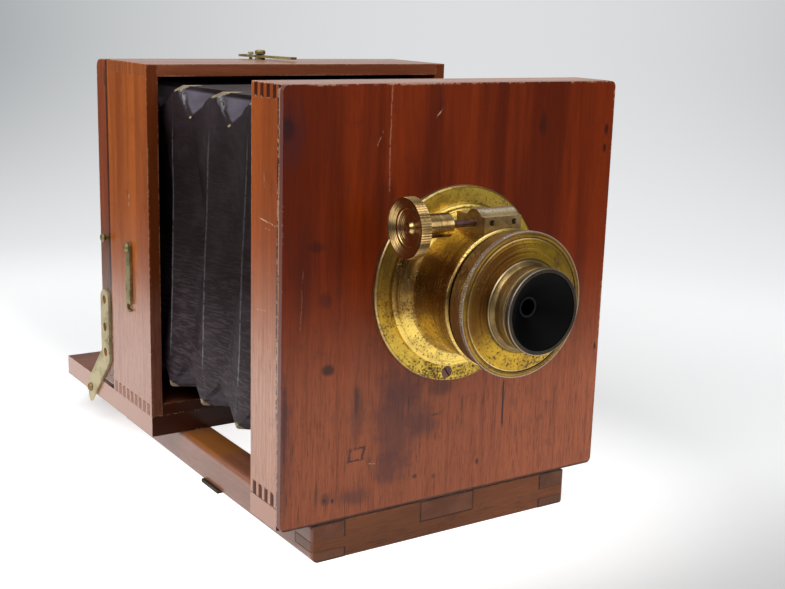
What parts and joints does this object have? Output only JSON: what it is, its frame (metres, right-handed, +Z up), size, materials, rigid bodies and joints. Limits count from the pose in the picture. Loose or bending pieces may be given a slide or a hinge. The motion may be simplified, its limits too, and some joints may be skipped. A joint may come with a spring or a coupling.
{
  "type": "plate camera",
  "caption": "Wooden tailboard plate camera: square bellows between a fixed lens box and a sliding back with a hinged focusing screen, brass lens with rack focusing.",
  "frame": {"origin": "centre of the tripod socket on the underside of the base", "axes": "+Z up, +Y from the lens to the sliding back, +X to the right seen from behind the lens looking along +Y"},
  "size_m": [0.2106, 0.3732, 0.2418],
  "materials": {
    "panel_mahogany": "French polished, worn",
    "box_mahogany": "French polished, worn",
    "base_mahogany": "worn polish",
    "blackened_wood": "matt black stain",
    "lacquered_brass": "lacquered, pitted",
    "bronzed_brass": "darkened",
    "dull_brass": "dull, oxidised",
    "dark_steel": "browned",
    "black_paint": "matt black",
    "bellows_cloth": "black, creased, worn at the folds",
    "lens_glass": "polished",
    "ground_glass": "ground"
  },
  "bodies": {
    "base": {"base_rail_left": "base_mahogany", "base_rail_right": "base_mahogany", "base_front_rail": "base_mahogany", "base_rear_rail": "base_mahogany", "centre_bar": "base_mahogany", "tripod_strap": "dull_brass", "tripod_strap_screws": "dull_brass", "front_bottom_board": "base_mahogany", "front_board_screws": "dark_steel", "front_box_left": "box_mahogany", "front_box_right": "box_mahogany", "front_box_top": "box_mahogany", "front_box_bottom": "box_mahogany", "lens_panel": "panel_mahogany", "lens_flange": "lacquered_brass", "lens_flange_screws": "dull_brass", "lens_barrel": "lacquered_brass", "pinion_housing": "lacquered_brass", "housing_screws": "dull_brass", "bellows": "bellows_cloth", "bellows_front_holder": "blackened_wood"},
    "back": {"bellows_rear_holder": "blackened_wood", "sliding_board": "base_mahogany", "guide_cleats": "base_mahogany", "cleat_screws": "dark_steel", "rear_box_left": "box_mahogany", "rear_box_right": "box_mahogany", "rear_box_top": "box_mahogany", "rear_box_bottom": "box_mahogany", "hinge_pivots": "dull_brass", "hook_screws": "dull_brass", "latch_knob": "dull_brass"},
    "lens": {"lens_tube": "bronzed_brass", "focus_rack": "dark_steel", "front_ring": "lacquered_brass", "lens_hood": "lacquered_brass", "stop_cone": "black_paint", "lens_cell": "black_paint", "lens_glass": "lens_glass"},
    "pinion": {"focus_pinion": "dark_steel", "focus_knob": "lacquered_brass"},
    "screen": {"screen_stile_left": "box_mahogany", "screen_stile_right": "box_mahogany", "screen_rail_top": "box_mahogany", "screen_rail_bottom": "box_mahogany", "ground_glass": "ground_glass", "glass_beads": "box_mahogany", "hinge_strap_left": "dull_brass", "hinge_strap_right": "dull_brass", "hinge_screws": "dull_brass", "side_studs": "dull_brass", "latch_stud": "dull_brass"},
    "hook_left": {"side_hook_left": "dull_brass"},
    "hook_right": {"side_hook_right": "dull_brass"},
    "latch": {"top_latch": "dull_brass"}
  },
  "joints": [
    {"name": "back_slide", "type": "slide", "parent": "base", "child": "back", "axis": [0, 1, 0], "range_m": [-0.095, 0.03], "deforming": ["bellows"]},
    {"name": "focus_slide", "type": "slide", "parent": "base", "child": "lens", "axis": [0, -1, 0], "range_m": [-0.0008, 0.014]},
    {"name": "pinion_turn", "type": "hinge", "parent": "base", "child": "pinion", "pos_m": [0, -0.1425, 0.1713], "axis": [1, 0, 0], "range_deg": [-171, 10]},
    {"name": "screen_hinge", "type": "hinge", "parent": "back", "child": "screen", "pos_m": [0, 0.1402, 0.024], "axis": [-1, 0, 0], "range_deg": [0, 95]},
    {"name": "hook_left_swing", "type": "hinge", "parent": "back", "child": "hook_left", "pos_m": [-0.1015, 0.0712, 0.1285], "axis": [1, 0, 0], "range_deg": [-270, 0]},
    {"name": "hook_right_swing", "type": "hinge", "parent": "back", "child": "hook_right", "pos_m": [0.1015, 0.0712, 0.1285], "axis": [1, 0, 0], "range_deg": [-270, 0]},
    {"name": "latch_turn", "type": "hinge", "parent": "back", "child": "latch", "pos_m": [-0.003, 0.0957, 0.237], "axis": [0, 0, 1], "range_deg": [-18, 72]}
  ],
  "couplings": [
    {"joint": "pinion_turn", "follows": "focus_slide", "rad_per_m": -212.77}
  ]
}
